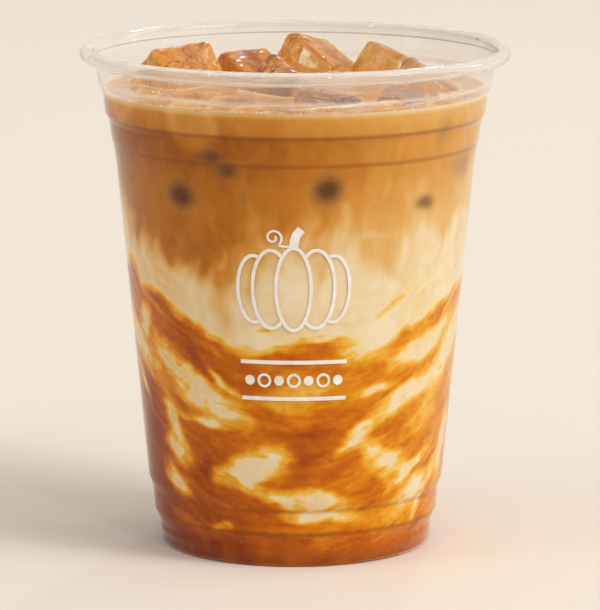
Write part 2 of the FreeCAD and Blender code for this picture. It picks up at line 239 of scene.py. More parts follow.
CREAM_SWIRLS += behind_swirls(11, 34, 11, 54, 45)
SAUCE_SWIRLS += behind_swirls(12, 9, 54, 64, 30)
MILK_DRIFTS += behind_swirls(13, 8, 60, 76, 80)
COFFEE_DRIFTS += behind_swirls(14, 8, 64, 78, 80)


def border(turn, rows):
    """The height at each turn of a line given as turns and heights, rounded at its corners."""
    turns, heights = zip(*rows)
    shifts = (-6, -3, 0, 3, 6)
    total = np.zeros(len(turn))
    for shift in shifts:
        total += np.interp(turned(turn + shift, 0), turns, heights)
    return total / len(shifts)


def swept_height(points):
    """Height measured from lines that swing down to the front: the swirls run along them."""
    front = -points[:, 1] / np.hypot(points[:, 0], points[:, 1]).clip(1e-6)
    return points[:, 2] - SWEEP * (1 - front)


def sauce_share(bent, wisps, fibres):
    """0 for milk, near 0.4 where a film of sauce lies on milk, and 1 for solid sauce."""
    turn = turn_of(bent)
    height = bent[:, 2]
    cream = gathered(turn, height, CREAM_SWIRLS)
    cream = cream * (1.0 + 0.75 * fibres + 0.5 * wisps) + 0.14 * fibres.clip(0.1, 1) - 0.014
    body = ease(-1.8, 2.8, border(turn, SAUCE_EDGE) - height + 1.2 * wisps + 1.4 * fibres)
    strands = gathered(turn, height, SAUCE_SWIRLS) * (1 + 0.35 * fibres)

    # deeper towards the bottom; painted shade makes it deeper still at the foot and on the side away from
    # the key light, and painted light paler on the lit side
    depth = 0.74 + 0.12 * layered(bent, 7.0, 101, 3) + 0.17 * fibres + 0.15 * ease(60, 0, height)
    depth -= 0.18 * np.cos(np.radians(turned(turn, SAUCE_PAINTED_LIGHT_TURN)))
    depth += 0.1 * ease(8, 3, height)
    depth += 0.17 * gathered(turn, height, DEEP_SAUCE)
    sauce = np.clip(np.maximum(body * depth, strands * np.clip(depth + 0.04, 0, 1)), 0, 1.15)

    # the cream thins the sauce at its edge and hides it in its middle, less so where strands cross
    hold = 1 - 0.5 * np.clip(strands, 0, 1)
    sauce *= 1 - 0.42 * ease(0.02, 0.40, cream) * hold
    sauce *= 1 - 0.93 * ease(0.34, 1.0, cream) * hold
    return np.clip(sauce, 0, 1.1)


def coffee_share(points, bent, streaks, wisps, fibres):
    """0 for milk and 1 for coffee."""
    turn = turn_of(bent)
    height = bent[:, 2]
    coffee = ease(-13.0, 11.0, height - border(turn, COFFEE_EDGE) + 4.5 * streaks)
    coffee = np.clip(coffee + 0.7 * gathered(turn, height, COFFEE_DRIFTS), 0, 1)
    coffee *= 1 - 0.85 * gathered(turn, height, MILK_DRIFTS)
    film = 0.10 + 0.16 * layered(bent, (4.6, 4.6, 7.0), 131, 3) + 0.10 * fibres
    # painted shade: a heavier coffee film on the left, away from the key light
    film += 0.22 * ease(-22, -55, turned(turn, 0))
    coffee = np.clip(np.maximum(coffee, film) + 0.10 * streaks + 0.03 * wisps, 0, 1)

    # painted shade: deeper on the side away from the key light, eased off a little on the far left; also
    # deeper at the front, between the wall's upper steps and near the top on the front left
    tone = -0.37 * np.cos(np.radians(turned(turn, COFFEE_PAINTED_LIGHT_TURN))) + 0.10 * ease(86, 93, height)
    tone += 0.10 * np.exp(-((turned(turn, -5) / 32) ** 2))
    tone -= 0.12 * ease(-20, -60, turned(turn, 0))
    tone += 0.10 * ease(90, 100, height) * ease(30, -30, turned(turn, -10))
    coffee += ease(0.45, 1.0, coffee) * tone

    # paler above the upper step, with painted light making it paler still on the left, away from the key
    # light; palest where the drink ends
    level = LEVEL / MM
    left = 0.5 - 0.5 * np.sin(np.radians(turn))
    coffee -= (0.05 + 0.25 * left) * ease(level - 5.6, level - 4.6, points[:, 2])
    coffee -= 0.10 * ease(level - 5.0, level - 0.8, height)
    coffee -= 0.42 * ease(level - 1.1, level - 0.2, points[:, 2])

    for middle, up, half_width, half_height, strength in PALE_RIMS:
        across = np.abs(np.radians(turned(turn, middle)) * SPREAD / half_width)
        rise = np.abs(height - up) / half_height
        off = (across**BOXINESS + rise**BOXINESS) ** (1 / BOXINESS)
        glow = 0.45 * (1 - ease(0.55, 1.25, off)) + 0.50 * np.exp(-(((off - 0.86) / 0.27) ** 2))
        coffee -= strength * glow
    return coffee


def sunk_share(place):
    """1 where sunk ice rests on the wall, fading to 0 round it."""
    turn = turn_of(place)
    sunk = np.zeros(len(place))
    for middle, up, half_width, half_height, darkness in SUNK_ICE:
        across = np.radians(turned(turn, middle)) * SPREAD / half_width / 1.25
        far = np.sqrt(across**2 + ((place[:, 2] - up) / half_height / 1.25) ** 2)
        sunk = np.maximum(sunk, darkness * (1 - ease(0.15, 1.5, far)))
    return sunk


def marble(points):
    """What the drink is at each point, in millimetres: its sauce, its coffee and its sunk ice, with painted
    light and shade worked into the sauce and the coffee.
    """
    bend = np.column_stack([layered(points, 9.0, seed, 3) for seed in (21, 31, 41)])
    curl = np.column_stack([layered(points, 3.6, seed, 1) for seed in (51, 61, 71)])
    bent = points + bend * (1.7, 1.7, 1.4) + curl * 0.8
    streaks = layered(points + bend * 3.0, (3.2, 3.2, 9.0), 81, 2)
    wisps = layered(bent, (2.4, 2.4, 2.0), 91, 2)
    flow = np.column_stack([bent[:, :2], swept_height(bent)])
    fibres = layered(flow + curl * (0, 0, 0.5), (6.0, 6.0, 1.25), 95, 2)
    sauce = sauce_share(bent, wisps, fibres)
    coffee = coffee_share(points, bent, streaks, wisps, fibres)
    return sauce, coffee, sunk_share(points + bend * 0.5 + curl * 0.45)


# ---- helpers for pieces
def round_cup(turns, radii, heights):
    """Points at turns, in radians round the cup from its front."""
    return np.column_stack([radii * np.sin(turns), -radii * np.cos(turns), heights + 0 * turns])


def all_round(count):
    """Even turns all the way round the cup, in radians."""
    return np.arange(count) * 2 * math.pi / count


def placed(name, data):
    """A new object in the scene that shows the data."""
    thing = bpy.data.objects.new(name, data)
    bpy.context.scene.collection.objects.link(thing)
    return thing


def new_piece(name, points, faces, material, smooth=True):
    """A mesh object that rides on the cup's body."""
    mesh = bpy.data.meshes.new(name)
    mesh.from_pydata([tuple(point) for point in points], [], faces)
    mesh.update()
    if smooth:
        mesh.shade_smooth()
    piece = placed(name, mesh)
    piece.data.materials.append(material)
    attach(piece, "root")
    return piece


def store(piece, name, values):
    """A number for each vertex of a piece, read by its material."""
    attribute = piece.data.attributes.new(name, "FLOAT", "POINT")
    attribute.data.foreach_set("value", np.asarray(values, np.float32))


def tree_of(nodes):
    """One tree of faces for casting rays at several CAD nodes."""
    points = []
    faces = []
    for name in nodes:
        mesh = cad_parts[name].data
        first = len(points)
        points += [vertex.co.copy() for vertex in mesh.vertices]
        faces += [[first + index for index in face.vertices] for face in mesh.polygons]
    return BVHTree.FromPolygons(points, faces)


def outward(turn, radius=1.0, height=0.0):
    """The place at a turn, in radians round the cup from its front."""
    return Vector((radius * math.sin(turn), -radius * math.cos(turn), height))


def wall_at(tree, turn, height):
    """Where a level ray from outside first meets the tree, or None."""
    way = outward(turn)
    return tree.ray_cast(way * OUTSIDE + Vector((0, 0, height)), -way)[0]


# ---- materials
def plain(red, green, blue):
    """A colour as it looks on a screen, 0 to 255, as the numbers Blender takes."""
    channels = []
    for value in (red, green, blue):
        share = value / 255.0
        channels.append(share / 12.92 if share <= 0.04045 else ((share + 0.055) / 1.055) ** 2.4)
    return (*channels, 1.0)


class Paint:
    """The nodes of one material, or of the world, made one at a time."""

    def __init__(self, name, blocks=bpy.data.materials, output="OutputMaterial"):
        self.block = blocks.new(name)
        self.block.use_nodes = True
        self.tree = self.block.node_tree
        self.tree.nodes.clear()
        self.output = self.add(output)

    def add(self, kind, inputs=None, **settings):
        """A node with its settings and inputs, each a plain value or another node's output."""
        node = self.tree.nodes.new("ShaderNode" + kind)
        for key, value in settings.items():
            setattr(node, key, value)
        for key, value in (inputs or {}).items():
            if isinstance(value, bpy.types.NodeSocket):
                self.tree.links.new(value, node.inputs[key])
            else:
                node.inputs[key].default_value = value
        return node

    def value(self, name):
        """The number stored on the piece's vertices under this name."""
        return self.add("Attribute", attribute_name=name).outputs["Fac"]

    def place(self):
        """The outputs X, Y and Z of each point's place on the piece."""
        return self.add("SeparateXYZ", {0: self.add("TexCoord").outputs["Object"]}).outputs

    def math(self, operation, first, second, clamp=False):
        """Two numbers put together, and held between 0 and 1 by clamp."""
        inputs = {0: first, 1: second}
        return self.add("Math", inputs, operation=operation, use_clamp=clamp).outputs[0]

    def sum(self, first, second):
        """Two numbers added."""
        return self.math("ADD", first, second)

    def times(self, first, second, clamp=False):
        """Two numbers multiplied."""
        return self.math("MULTIPLY", first, second, clamp)

    def ramp(self, value, stops):
        """A colour for each value, between stops: a place, then one grey or three screen levels."""
        node = self.add("ValToRGB", {"Fac": value})
        band = node.color_ramp
        while len(band.elements) < len(stops):
            band.elements.new(0.5)
        for element, (place, *levels) in zip(band.elements, stops):
            element.position = place
            element.color = plain(*levels) if len(levels) == 3 else (*(levels * 3), 1.0)
        return node.outputs["Color"]

    def blend(self, share, first, second, how="MIX"):
        """Two colours mixed by share."""
        inputs = {0: share, 6: first, 7: second}
        return self.add("Mix", inputs, data_type="RGBA", blend_type=how).outputs[2]

    def grain(self, scale, detail=3.0, upright=1.0, twist=0.0, place=None, rough=0.5):
        """Noise from 0 to 1, with scale features in a metre, or upright times that going up.

        It lies in the piece's own space, or in the space of another place.
        """
        if place is None:
            place = self.add("TexCoord").outputs["Object"]
        moved = self.add("Mapping", {"Vector": place, "Scale": (1.0, 1.0, upright)}).outputs[0]
        inputs = {"Scale": scale, "Detail": detail, "Roughness": rough, "Distortion": twist}
        return self.add("TexNoise", {"Vector": moved, **inputs}).outputs["Fac"]

    def drift(self, *grain):
        """The same noise from -0.5 to 0.5."""
        return self.sum(self.grain(*grain), -0.5)

    def bump(self, height, strength, distance):
        """A small relief read from a number."""
        inputs = {"Height": height, "Strength": strength, "Distance": distance}
        return self.add("Bump", inputs).outputs[0]

    def show(self, shader):
        """Shows the shader, and returns the finished material or world."""
        self.tree.links.new(shader, self.output.inputs["Surface"])
        return self.block

    def solid(self, inputs):
        """A solid material."""
        return self.show(self.add("BsdfPrincipled", inputs).outputs[0])

    def clear(self, inputs, shade):
        """A clear material that lamps and soft light pass straight through, on to what is inside."""
        shader = self.add("BsdfPrincipled", inputs).outputs[0]
        path = self.add("LightPath")
        open_way = self.add("BsdfTransparent", {"Color": shade}).outputs[0]
        soft = self.add("MixShader", {0: path.outputs["Is Diffuse Ray"], 1: shader, 2: open_way})
        lamps = {0: path.outputs["Is Shadow Ray"], 1: soft.outputs[0], 2: open_way}
        return self.show(self.add("MixShader", lamps).outputs[0])


# how clear the plastic is at each share of the cup's height: milkier in the shoulder and the rim
CLEARNESS = [
    (LEVEL / CUP_HEIGHT, 1.0), (LEVEL / CUP_HEIGHT + 0.010, 0.93),
    (0.929, 0.93), (0.932, 0.68), (0.936, 0.68), (0.939, 0.92), (0.964, 0.90), (0.974, 0.84),
]
COFFEE_TONES = [
    (0.00, 245, 228, 194), (0.20, 238, 209, 158), (0.42, 230, 182, 108),
    (0.62, 217, 152, 66), (0.80, 196, 121, 32), (1.00, 158, 86, 12),
]
SAUCE_TONES = [
    (0.00, 247, 231, 195), (0.16, 246, 220, 156), (0.33, 243, 190, 78),
    (0.52, 232, 152, 14), (0.72, 206, 106, 0), (1.00, 146, 58, 0),
]
SUNK_TONES = [(0.10, 150, 116, 78), (0.45, 112, 82, 56), (0.95, 78, 46, 30)]
SURFACE_TONES = [
    (0.30, 190, 118, 48), (0.48, 208, 142, 70), (0.60, 222, 164, 94),
    (0.74, 238, 194, 134),
]
# the lining's tones from the surface down: darker with depth, as painted shade
LINING_TONES = [
    (0.00, 247, 215, 150), (0.22, 236, 190, 110), (0.45, 218, 160, 74),
    (0.70, 194, 130, 46), (1.00, 156, 96, 28),
]
# painted shade: the colour of the thin dark line along each step of the wall
LEDGE_PAINTED_SHADE = plain(120, 62, 20)
LEDGE_WIDTH = 0.75 * MM
DUST_SHADE = plain(240, 190, 120)
WET_SHADE = plain(236, 200, 150)


def make_plastic():
    """The cup's clear PET: smooth, with the faint waves and draw lines of thermoformed sheet."""
    paint = Paint("clear_plastic")
    waves = paint.grain(55.0, 2.0, 0.55)
    lines = paint.grain(240.0, 2.0, 0.16)
    relief = paint.sum(waves, paint.times(lines, 0.16))
    height = paint.times(paint.place()["Z"], 1 / CUP_HEIGHT)
    look = {
        "Base Color": plain(250, 248, 244),
        "Roughness": paint.ramp(paint.grain(90.0, 4.0), [(0.35, 0.02), (0.75, 0.07)]),
        "IOR": 1.42,
        "Specular Tint": plain(156, 156, 156),
        "Transmission Weight": paint.ramp(height, CLEARNESS),
        "Normal": paint.bump(relief, 0.16, 0.3 * MM),
    }
    return paint.clear(look, plain(247, 245, 242))


def make_marbling():
    """The drink through the wall: coffee over milk over pumpkin sauce, swirled together."""
    paint = Paint("marbled_drink")
    wisps = paint.drift(520.0, 5.0, 1.4, 0.6)
    veins = paint.drift(230.0, 4.0, 0.5, 1.2)
    spot = paint.place()
    flow = {0: spot["X"], 1: spot["Y"], 2: paint.value("swept")}
    along = paint.add("CombineXYZ", flow).outputs[0]
    fibres = paint.drift(190.0, 5.0, 5.0, 0.5, along, 0.6)
    stir = paint.sum(paint.times(wisps, 0.36), paint.times(fibres, 0.62))

    # the stir works most on thin sauce, little on solid sauce and not at all on clean milk
    sauce = paint.value("sauce")
    room = paint.times(paint.math("SUBTRACT", sauce, 1.13), -1.0)
    mixing = paint.times(paint.times(sauce, room), 2.6, clamp=True)
    swirled = paint.sum(sauce, paint.times(stir, mixing))
    sauce_color = paint.ramp(paint.times(swirled, 0.93), SAUCE_TONES)

    curls = paint.drift(95.0, 5.0, 0.7, 2.4)
    drift = paint.sum(paint.times(veins, 0.16), paint.times(curls, 0.22))
    coffee = paint.sum(paint.value("coffee"), drift)
    coffee_color = paint.ramp(paint.times(coffee, 0.77), COFFEE_TONES)

    color = paint.blend(paint.ramp(swirled, [(0.03, 0), (0.30, 1)]), coffee_color, sauce_color)
    sunk = paint.value("sunk")
    color = paint.blend(paint.ramp(sunk, [(0.0, 0), (0.95, 0.88)]), color, paint.ramp(sunk, SUNK_TONES))
    dust = paint.ramp(paint.grain(2600.0, 2.0), [(0.66, 0), (0.74, 0.45)])
    color = paint.blend(dust, color, DUST_SHADE)
    # painted shade: a thin dark line along each step of the wall
    for height, strength in LEDGES:
        off = paint.math("ABSOLUTE", paint.math("SUBTRACT", spot["Z"], height * MM), 0.0)
        off = paint.times(off, 1 / LEDGE_WIDTH, clamp=True)
        line = paint.ramp(off, [(0.0, strength), (0.35, strength), (0.9, 0)])
        color = paint.blend(line, color, LEDGE_PAINTED_SHADE)
    return paint.solid({
        "Base Color": color,
        "Roughness": paint.ramp(wisps, [(0.0, 0.5), (1.0, 0.65)]),
        "Specular IOR Level": 0.06,
        "Normal": paint.bump(veins, 0.15, 0.2 * MM),
    })


def make_surface_look():
    """The top of the drink: milky coffee with faint swirls of crema, wet and shining."""
    paint = Paint("drink_surface")
    clouds = paint.grain(70.0, 4.0, twist=1.4)
    threads = paint.grain(330.0, 4.0, twist=2.0)
    tone = paint.sum(paint.times(clouds, 0.7), paint.times(threads, 0.3))
    wet = paint.ramp(paint.value("wet"), [(0.05, 0), (0.8, 0.7)])
    return paint.solid({
        "Base Color": paint.blend(wet, paint.ramp(tone, SURFACE_TONES), WET_SHADE),
        "Roughness": paint.ramp(threads, [(0.3, 0.10), (0.7, 0.22)]),
        "IOR": 1.35,
        "Normal": paint.bump(paint.grain(160.0, 3.0), 0.25, 0.4 * MM),
    })


def make_ice_look():
    """Clear ice, faintly stained by the coffee, with a rippled melting skin."""
    paint = Paint("clear_ice")
    fine = paint.grain(520.0, 3.0)
    relief = paint.sum(paint.grain(150.0, 3.0, 1.5, 0.4), paint.times(fine, 0.32))
    cloud = paint.ramp(paint.grain(85.0, 4.0), [(0.40, 255, 247, 230), (0.72, 242, 218, 176)])
    cracks = paint.grain(210.0, 5.0, 0.45, 2.2)
    streaks = paint.ramp(cracks, [(0.38, 224, 190, 146), (0.50, 255, 253, 248)])
    look = {
        "Base Color": paint.blend(0.8, cloud, streaks, "MULTIPLY"),
        "Roughness": paint.ramp(fine, [(0.35, 0.01), (0.75, 0.06)]),
        "IOR": 1.35,
        "Transmission Weight": paint.ramp(cracks, [(0.58, 1), (0.74, 0.88)]),
        "Normal": paint.bump(relief, 0.8, 1.0 * MM),
    }
    return paint.clear(look, plain(250, 240, 226))


def make_lining():
    """The coffee where it lies against sunk ice, seen down through the block, darker with depth as painted
    shade.
    """
    paint = Paint("coffee_round_ice")
    clouds = paint.grain(120.0, 4.0, twist=1.0)
    cracks = paint.grain(280.0, 5.0, 0.5, 2.5)
    drift = paint.sum(paint.times(clouds, 0.9), paint.times(cracks, 0.8))
    depth = paint.sum(paint.times(paint.value("depth"), 0.6), paint.sum(drift, -0.76))
    return paint.solid({
        "Base Color": paint.ramp(depth, LINING_TONES),
        "Roughness": paint.ramp(clouds, [(0.3, 0.35), (0.7, 0.5)]),
        "Specular IOR Level": 0.1,
    })


def make_fine_look(name, dark, pale, rough, spread=0.15, tone=(1400.0, 2.0), relief=(5000.0, 2.0, 0.3)):
    """Bubbles, spice or ink: a tone and a roughness that drift, and a fine relief.

    tone is that drift's scale and detail. relief is the relief's scale, detail and strength.
    """
    paint = Paint(name)
    drift = paint.grain(*tone)
    return paint.solid({
        "Base Color": paint.ramp(drift, [(0.5 - spread, *dark), (0.5 + spread, *pale)]),
        "Roughness": paint.ramp(drift, [(0.3, rough[0]), (0.7, rough[1])]),
        "Normal": paint.bump(paint.grain(*relief[:2]), relief[2], 0.02 * MM),
    })


PLASTIC = make_plastic()
SURFACE = make_surface_look()
CLEAR_ICE = make_ice_look()
LINING = make_lining()
MARBLING = make_marbling()

# ---- the cup
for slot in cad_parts["cup"].material_slots:
    slot.material = PLASTIC


# ---- the side of the drink
def drink_outline():
    """The drink's outline from the middle of its foot to its level, read from the CAD layers."""
    tree = tree_of(LAYERS)
    turns = [math.radians(5 + 10 * step) for step in range(36)]
    outline = []
    bend = 0.55 * RIM_RADIUS
    for radius in (*np.arange(0.0, bend, FOOT_STEP), *np.arange(bend, RIM_RADIUS, BEND_STEP)):
        hits = [tree.ray_cast(outward(turn, radius, -0.01), Vector((0, 0, 1)))[0] for turn in turns]
        rises = [hit.z for hit in hits if hit is not None]
        if not rises or min(rises) > 10 * MM:
            break
        outline.append((radius, min(rises) - INTO_WALL))
    for height in np.linspace(outline[-1][1] + 0.3 * MM, LEVEL - 0.1 * MM, SIDE_ROWS):
        hits = [wall_at(tree, turn, height) for turn in turns]
        reaches = [math.hypot(hit.x, hit.y) for hit in hits if hit is not None]
        if reaches and max(reaches) > 0.5 * RIM_RADIUS:
            outline.append((max(reaches) + INTO_WALL, height))
    top_radius = outline[-1][0]
    for share in (0.25, 0.5, 0.75, 1.0):
        outline.append((top_radius + 0.03 * MM * share, LEVEL + WET_RISE * share))
    return outline


def make_side(outline):
    """The drink's wall and foot, with what it is at each point stored for its material."""
    rings = [round_cup(all_round(COLUMNS), radius, height) for radius, height in outline[1:]]
    middle = len(rings) * COLUMNS
    points = np.vstack([*rings, (0, 0, outline[0][1])])
    faces = []
    for low in range(0, middle - COLUMNS, COLUMNS):
        high = low + COLUMNS
        for column in range(COLUMNS):
            after = (column + 1) % COLUMNS
            faces.append((low + column, low + after, high + after, high + column))
    faces += [(middle, (column + 1) % COLUMNS, column) for column in range(COLUMNS)]
    piece = new_piece("drink_side", points, faces, MARBLING)
    # the sauce and coffee values hold painted light and shade as well as the drink's layers
    for key, values in zip(("sauce", "coffee", "sunk"), marble(points / MM)):
        store(piece, key, values)
    store(piece, "swept", swept_height(points / MM) * MM)
    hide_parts(*LAYERS)


# ---- the ice
def melted(name, seed):
    """A block as it has melted: the CAD block's shape, worn smooth, dimpled and rippled."""
    block = placed("wear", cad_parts[name].data.copy())
    fine = block.modifiers.new("fine", "REMESH")
    fine.mode = "VOXEL"
    fine.voxel_size = 0.55 * MM
    round_off = block.modifiers.new("round_off", "SMOOTH")
    round_off.iterations = 10
    round_off.factor = 0.5
    shape = bpy.data.meshes.new_from_object(block.evaluated_get(bpy.context.evaluated_depsgraph_get()))
    bpy.data.objects.remove(block)
    points = np.zeros(3 * len(shape.vertices))
    shape.vertices.foreach_get("co", points)
    normals = np.zeros(3 * len(shape.vertices), np.float32)
    shape.vertices.foreach_get("normal", normals)
    place = points.reshape(-1, 3) / MM
    wear = 0.50 * (1 + layered(place, 6.0, 200 + seed, 2)) + 0.16 * layered(place, 2.2, 220 + seed, 2)
    points = points.reshape(-1, 3) - normals.reshape(-1, 3) * np.clip(wear, 0.0, None)[:, None] * MM
    shape.vertices.foreach_set("co", points.ravel())
    shape.update()
    return shape


def joined_lines(edges):
    """Closed lines of points made from loose edges, each as a list of (x, y)."""
    after = {}
    for edge in edges:
        for one, other in (edge.verts, reversed(edge.verts)):
            after.setdefault(one, []).append(other)
    lines = []
    left = set(after)
    while left:
        line = []
        ahead = [min(left, key=lambda vert: vert.index)]
        while ahead:
            line.append(ahead[0])
            left.discard(ahead[0])
            ahead = [vert for vert in after[line[-1]] if vert in left]
        if len(line) > SHORTEST_LINE:
            lines.append([(vert.co.x, vert.co.y) for vert in line])
    return lines


def floating(name, shape, work, share, reach):
    """A piece of ice that is clear above the drink and lined with the drink's colour below it.

    share is how much of the sunk depth is kept, and reach is the depth where the lining's painted shade is
    darkest. Returns the piece and the lines along which it meets the surface of the drink.
    """
    cut = LEVEL + WET_RISE
    everything = work.verts[:] + work.edges[:] + work.faces[:]
    bmesh.ops.bisect_plane(work, geom=everything, dist=1e-7, plane_co=(0, 0, cut), plane_no=(0, 0, 1))
    work.verts.index_update()
    for face in work.faces:
        face.smooth = True
        face.material_index = 0 if face.calc_center_median().z > cut else 1
    rims = [edge for edge in work.edges if len({face.material_index for face in edge.link_faces}) == 2]
    lines = joined_lines(rims)
    for vert in work.verts:
        if vert.co.z < cut:
            vert.co.z = cut - (cut - vert.co.z) * share
    shape.materials.clear()
    shape.materials.append(CLEAR_ICE)
    shape.materials.append(LINING)
    work.to_mesh(shape)
    work.free()
    piece = placed(name, shape)
    heights = np.array([vertex.co.z for vertex in shape.vertices])
    store(piece, "depth", np.clip((cut - heights) / (reach * share), 0, 1))
    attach(piece, "root")
    return piece, lines


def make_ice(name, number):
    """One melted block. Returns its waterlines."""
    shape = melted(name, number)
    work = bmesh.new()
    work.from_mesh(shape)
    piece, lines = floating("ice_%d" % number, shape, work, LIT_SHARE, 17 * MM)
    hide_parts(name)
    return lines


# a chip: turn, distance from the middle, half its length, width and thickness, and its own turn
ICE_CHIPS = [
    (-15, 38.8, 3.8, 2.2, 1.5, 4), (9, 39.6, 2.4, 1.6, 1, -6), (-53, 27.5, 6.6, 3.4, 2, 22),
    (-28, 30.5, 6, 3.6, 2.2, -14), (-38, 38, 4.4, 2.2, 1.5, 8), (-72, 35, 4.2, 2.4, 1.6, -10),
    (33, 37.6, 4.6, 2.4, 1.6, 10), (62, 36.4, 4.4, 2.3, 1.5, -8), (46, 40.2, 2, 1.2, 0.9, 5),
    (-140, 37, 4.2, 2.4, 1.5, 12), (150, 38.6, 3.6, 2, 1.3, -12),
]
CHIP_SINK = 0.1  # how far below the drink's level a chip's middle lies, in millimetres
CHIP_BOXINESS = 0.72  # 1 would be a ball, and less is more like a block
SHORTEST_LINE = 12  # a waterline of fewer points is only a nick


def make_chips():
    """Chips of ice, nearly melted, awash in the drink. Returns their waterlines."""
    parts = bmesh.new()
    for number, (turn, far, length, width, thick, own) in enumerate(ICE_CHIPS):
        made = bmesh.ops.create_icosphere(parts, subdivisions=4, radius=1.0)["verts"]
        base = np.array([vert.co[:] for vert in made])
        chip = np.sign(base) * np.abs(base) ** CHIP_BOXINESS
        chip = chip * (1 + 0.20 * layered(base + 9 * number, 1.1, 400 + number, 2))[:, None]
        angle = math.radians(turn)
        middle = np.array([math.sin(angle) * far, -math.cos(angle) * far, 0])
        angle += math.radians(own)
        side = np.array([math.cos(angle), math.sin(angle), 0]) * length
        out = np.array([math.sin(angle), -math.cos(angle), 0]) * width
        for vert, (x, y, z) in zip(made, chip):
            up = np.array([0, 0, z * thick - CHIP_SINK])
            vert.co = Vector((middle + side * x + out * y + up) * MM)
            vert.co.z += LEVEL
    bmesh.ops.recalc_face_normals(parts, faces=parts.faces[:])
    return floating("ice_chips", bpy.data.meshes.new("ice_chips"), parts, 1.0, 5.5 * MM)[1]


# ---- the surface of the drink
def far_from(points, line):
    """Each point's distance from a closed line, and whether it lies inside it."""
    line = np.asarray(line)
    near = np.full(len(points), np.inf)
    inside = np.zeros(len(points), bool)
    tiny = 1e-18
    for (ax, ay), (bx, by) in zip(line, np.roll(line, -1, axis=0)):
        edge = np.array([bx - ax, by - ay])
        share = np.clip(((points - (ax, ay)) @ edge) / max(edge @ edge, tiny), 0, 1)
        gap = points - (np.array([ax, ay]) + share[:, None] * edge)
        near = np.minimum(near, np.hypot(gap[:, 0], gap[:, 1]))
        crosses = (points[:, 1] < ay) != (points[:, 1] < by)
        slope = (points[:, 1] - ay) * (bx - ax) / (by - ay if by != ay else tiny) + ax
        inside ^= crosses & (points[:, 0] < slope)
    return near, inside


def shores(points, radius, lines):
    """Each point's distance from the wall or the nearest ice, and whether it lies inside ice."""
    near = radius - np.hypot(points[:, 0], points[:, 1])
    inside = np.zeros(len(points), bool)
    for line in lines:
        gap, within = far_from(points, line)
        near = np.minimum(near, gap)
        inside |= within
    return near, inside


def open_water(radius, lines):
    """Evenly spaced points on the drink's surface, clear of the wall and the ice."""
    steps = np.arange(-radius, radius, SURFACE_STEP)
    rows = np.arange(-radius, radius, SURFACE_STEP * 0.866)
    across, along = np.meshgrid(steps, rows)
    across[1::2] += SURFACE_STEP / 2
    points = np.column_stack([across.ravel(), along.ravel()])
    points = points[np.hypot(points[:, 0], points[:, 1]) < radius - 0.3 * MM]
    near, inside = shores(points, radius, lines)
    return points[~inside & (near > 0.22 * MM)]


def make_surface(outline, lines):
    """The drink's surface, cut round each block, and climbing where it wets the wall and ice."""
    radius = outline[-1][0]
    lines = [np.asarray(line)[:: 2 if len(line) > 160 else 1] for line in lines]
    flat = []
    edges = []
    for line in [round_cup(all_round(COLUMNS), radius, 0)[:, :2], *lines]:
        first = len(flat)
        flat += [Vector(point) for point in line]
        edges += [(first + at, first + (at + 1) % len(line)) for at in range(len(line))]
    flat += [Vector(point) for point in open_water(radius, lines)]
    result = geometry.delaunay_2d_cdt(flat, edges, [], 0, 1e-9)
    spots = np.array([tuple(point) for point in result[0]])
    triangles = [tuple(face) for face in result[2]]
    near, inside = shores(np.array([spots[list(face)].mean(axis=0) for face in triangles]), radius, lines)
    triangles = [face for face, gone in zip(triangles, inside | (near < 0)) if not gone]

    near = np.clip(shores(spots, radius, lines)[0], 0, None)
    climb = np.exp(-near / WET_REACH)
    place = np.column_stack([spots, np.zeros(len(spots))]) / MM
    calm = ease(0.0, 3.0, near / MM)
    ripple = calm * (0.16 * layered(place, 9.0, 301, 3) + 0.05 * noise(place, 2.4, 305))
    heights = LEVEL + WET_RISE * climb + ripple * MM
    piece = new_piece("drink_surface", np.column_stack([spots, heights]), triangles, SURFACE)
    store(piece, "wet", climb)


OUTLINE = drink_outline()
make_side(OUTLINE)
MEETING = []
for number, name in enumerate(ICE, start=1):
    MEETING += make_ice(name, number)
MEETING += make_chips()
make_surface(OUTLINE, MEETING)


# ---- bubbles, flecks and froth
def scattered(name, spots, radii, material, seed, roundness=(1.0, 1.0, 1.0), rough=0.0):
    """One piece of many small lumps, each of its own size and turn, and uneven by rough."""
    dice = np.random.default_rng(seed)
    ball = bmesh.new()
    bmesh.ops.create_icosphere(ball, subdivisions=1, radius=1.0)
    shell = np.array([vert.co[:] for vert in ball.verts])
    skin = [[vert.index for vert in face.verts] for face in ball.faces]
    ball.free()
    points = []
    faces = []
    for spot, radius in zip(spots, radii):
        lump = shell * roundness * (1 + rough * dice.standard_normal((len(shell), 1)))
        twist = dice.uniform(0, 2 * math.pi)
        cosine = math.cos(twist)
        sine = math.sin(twist)
        turn = np.array([[cosine, -sine, 0], [sine, cosine, 0], [0, 0, 1]])
        first = len(points) * len(shell)
        faces += [[first + index for index in face] for face in skin]
        points.append(lump @ turn.T * radius + spot)
    piece = new_piece(name, np.concatenate(points), faces, material)


def drawn(dice, count, least, span, power):
    """Lengths from least up, in millimetres, more of them short where power is higher."""
    return (least + span * dice.random(count) ** power) * MM


def on_wall(dice, outline, heights, inward):
    """Points at these heights anywhere round the drink's wall, a little way in from its skin."""
    profile = np.array([point for point in outline if point[1] > 1 * MM and point[0] > 0.6 * outline[-1][0]])
    radii = np.interp(heights, profile[:, 1], profile[:, 0]) - inward
    return round_cup(np.radians(dice.uniform(0, 360, len(heights))), radii, heights)


def make_bubbles(dice, outline, count=620):
    """Air bubbles in the sauce, most of them low down."""
    heights = drawn(dice, count, 3, 66, 1.5)
    radii = drawn(dice, count, 0.05, 0.11, 3)
    spots = on_wall(dice, outline, heights, radii * 0.3)
    scattered("air_bubbles", spots, radii, BUBBLE, 2)


